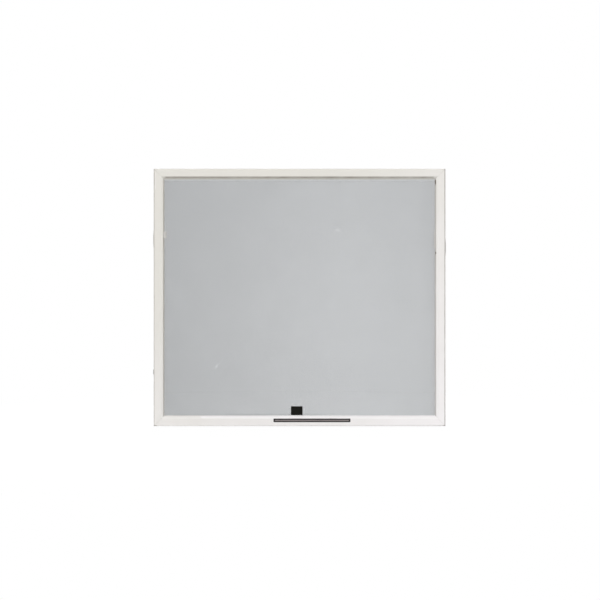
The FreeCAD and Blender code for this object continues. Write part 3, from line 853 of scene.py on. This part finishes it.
def white_floor():
    """Matt white paper: where it is seen it is white and keeps the screen's shadow close by,
    and it throws only as much light back as a pale floor does."""
    near_bounce = (0.75, 0.75, 0.75, 1)
    far_bounce = (0.5, 0.5, 0.5, 1)
    bounce_near, bounce_far = 0.3, 0.6
    near_grey = (0.1, 0.1, 0.1, 1)
    no_grey = (0, 0, 0, 1)
    near_glow = 0.935
    shadow_near, shadow_far = 0.4, 1.0
    material, add, place = new_material("matt_white_paper")
    distance = add("ShaderNodeVectorMath", {0: place}, operation="LENGTH")
    far = add("ShaderNodeMapRange", {
        "Value": distance, "From Min": shadow_near, "From Max": shadow_far},
        interpolation_type="SMOOTHSTEP")
    grey = add("ShaderNodeMix", {
        FACTOR: far, FIRST: near_grey, SECOND: no_grey}, data_type="RGBA")
    glow = add("ShaderNodeMapRange", {"Value": far, "To Min": near_glow, "To Max": 1})
    off_foot = add("ShaderNodeMapRange", {
        "Value": distance, "From Min": bounce_near, "From Max": bounce_far},
        interpolation_type="SMOOTHSTEP")
    bounce = add("ShaderNodeMix", {
        FACTOR: off_foot, FIRST: near_bounce, SECOND: far_bounce}, data_type="RGBA")
    seen = seen_rays(add)
    colour = add("ShaderNodeMix", {FACTOR: seen, FIRST: bounce, SECOND: grey}, data_type="RGBA")
    strength = add("ShaderNodeMath", {0: seen, 1: glow}, operation="MULTIPLY")
    shader = add("ShaderNodeBsdfPrincipled", {
        "Base Color": colour, "Roughness": 0.9, "Specular IOR Level": 0.0,
        "Emission Color": (1, 1, 1, 1), "Emission Strength": strength})
    add("ShaderNodeOutputMaterial", {"Surface": shader})
    return material


def white_studio():
    """A world that is white where it is seen and lights the screen softly from all sides."""
    world = bpy.data.worlds.new("white_studio")
    world.use_nodes = True
    world.node_tree.nodes.clear()
    add = partial(add_node, world.node_tree)
    strength = add("ShaderNodeMapRange", {"Value": seen_rays(add), "To Min": WORLD_LIGHT})
    background = add("ShaderNodeBackground", {"Color": (1, 1, 1, 1), "Strength": strength})
    add("ShaderNodeOutputWorld", {"Surface": background})
    return world


class SCREEN_OT_stage(bpy.types.Operator):
    """Sets up the white floor and background, the soft lamps and the camera"""
    bl_idname = "screen.stage"
    bl_label = "Stage"

    def execute(self, context):
        scene = context.scene
        deselect_all()
        foot = (0, 0, CAD_LOW.z - FLOOR_GAP)
        bpy.ops.mesh.primitive_plane_add(size=FLOOR_SIZE, location=foot)
        floor = context.object
        floor.name = floor.data.name = "floor"
        bpy.ops.object.transform_apply(location=True, rotation=True, scale=True)
        dress(white_floor(), floor.name)
        scene.world = white_studio()
        for name, setting in SOFT_BOXES.items():
            add_soft_box(name, *setting)

        metres_per_pixel = 2 * HALF_WIDTH / SCREEN_PIXELS
        camera = bpy.data.cameras.new("camera")
        camera.sensor_width = SENSOR_WIDTH
        camera.lens = SENSOR_WIDTH * CAMERA_DISTANCE / (IMAGE_PIXELS * metres_per_pixel)
        holder = bpy.data.objects.new("camera", camera)
        aside = (IMAGE_PIXELS / 2 - SCREEN_MIDDLE[0]) * metres_per_pixel
        above = (SCREEN_MIDDLE[1] - IMAGE_PIXELS / 2) * metres_per_pixel
        holder.location = (aside, FACE_Y - CAMERA_DISTANCE, MIDDLE.z + above)
        holder.rotation_euler = (math.pi / 2, 0, 0)
        scene.collection.objects.link(holder)
        scene.camera = holder
        scene.view_settings.view_transform = "Standard"
        return {"FINISHED"}


class SCREEN_PT_panel(bpy.types.Panel):
    bl_label = "Insect Screen"
    bl_idname = "SCREEN_PT_panel"
    bl_space_type = "VIEW_3D"
    bl_region_type = "UI"
    bl_category = "Insect Screen"

    def draw(self, context):
        scene = context.scene
        for group in (scene.screen_sizes, scene.screen_colours):
            box = self.layout.box()
            for name in group.__annotations__:
                box.prop(group, name)
        for operator in OPERATORS:
            self.layout.operator(operator.bl_idname)


OPERATORS = [
    SCREEN_OT_stage, SCREEN_OT_bars, SCREEN_OT_mesh_cloth, SCREEN_OT_rubber_pad,
    SCREEN_OT_fittings,
]
CLASSES = [ScreenSizes, ScreenColours, *OPERATORS, SCREEN_PT_panel]


def register():
    for each in CLASSES:
        bpy.utils.register_class(each)
    bpy.types.Scene.screen_sizes = bpy.props.PointerProperty(type=ScreenSizes)
    bpy.types.Scene.screen_colours = bpy.props.PointerProperty(type=ScreenColours)


def unregister():
    del bpy.types.Scene.screen_colours
    del bpy.types.Scene.screen_sizes
    for each in reversed(CLASSES):
        bpy.utils.unregister_class(each)


def main():
    register()
    bpy.ops.screen.stage()
    bpy.ops.screen.bars()
    bpy.ops.screen.mesh_cloth()
    bpy.ops.screen.rubber_pad()
    bpy.ops.screen.fittings()


if __name__ == "__main__":
    main()
